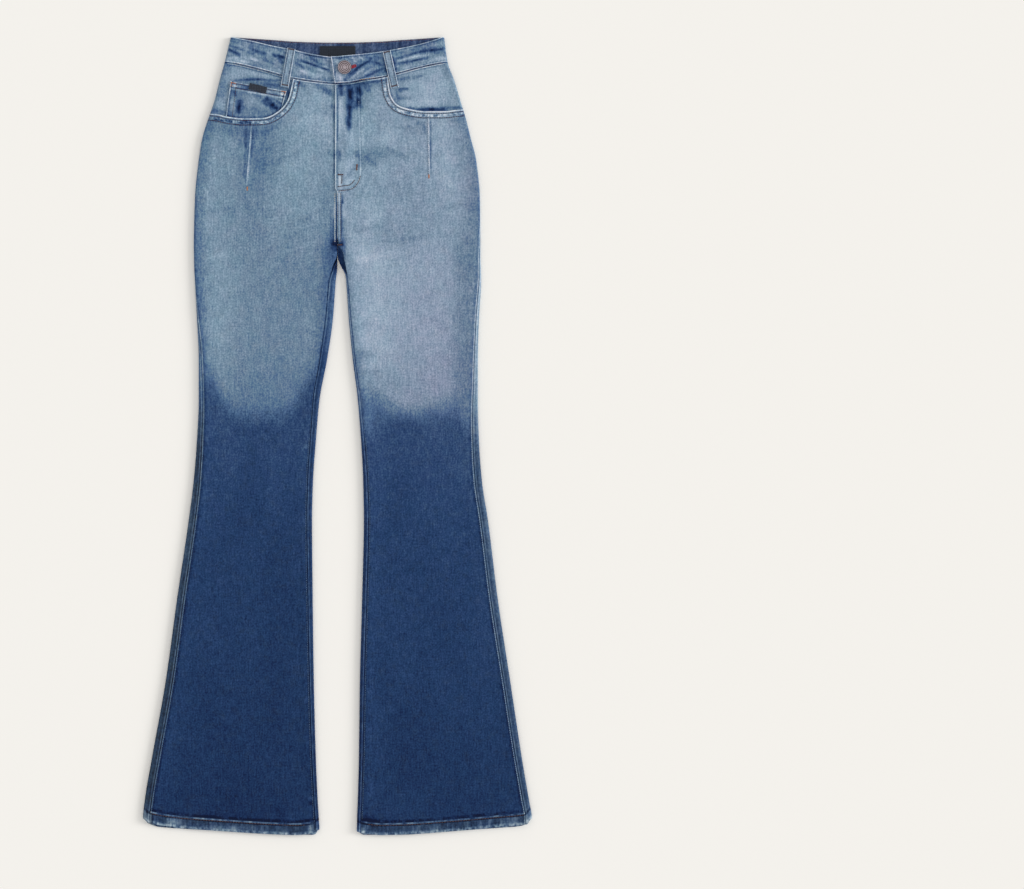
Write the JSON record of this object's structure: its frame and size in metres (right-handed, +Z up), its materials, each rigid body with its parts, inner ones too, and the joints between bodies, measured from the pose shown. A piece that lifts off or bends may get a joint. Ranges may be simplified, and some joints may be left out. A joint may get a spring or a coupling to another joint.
{
  "type": "bootcut jeans",
  "caption": "High-waisted denim jeans with legs flared from the knee, laid flat on their back with the front up.",
  "frame": {"origin": "bottom centre of the garment's box, on the surface it lies on", "axes": "+Y from the hems to the waist, +Z up out of the front, +X towards the wearer's left leg"},
  "size_m": [0.544, 1.116, 0.0107],
  "materials": {
    "front_denim": "stone-washed denim, light from the waist to above the knees and dark indigo below",
    "back_denim": "indigo denim",
    "pocket_denim": "worn light denim with darker patches",
    "band_denim": "worn light denim with abraded edges",
    "label_cloth": "plain dark woven label cloth",
    "button_metal": "antique coppery grey, brushed"
  },
  "bodies": {
    "root": {"front_panel_right": "front_denim", "front_panel_left": "front_denim", "back_panel_right": "back_denim", "back_panel_left": "back_denim", "back_yoke_right": "back_denim", "back_yoke_left": "back_denim", "pocket_facing_right": "pocket_denim", "pocket_facing_left": "pocket_denim", "coin_pocket": "pocket_denim", "coin_pocket_tab": "label_cloth", "waistband": "band_denim", "waist_label": "label_cloth", "belt_loop_front_right": "band_denim", "belt_loop_front_left": "band_denim", "belt_loop_back_right": "band_denim", "belt_loop_back_left": "band_denim", "belt_loop_back_centre": "band_denim", "back_pocket_right": "back_denim", "back_pocket_left": "back_denim", "waist_button": "button_metal"}
  },
  "joints": []
}
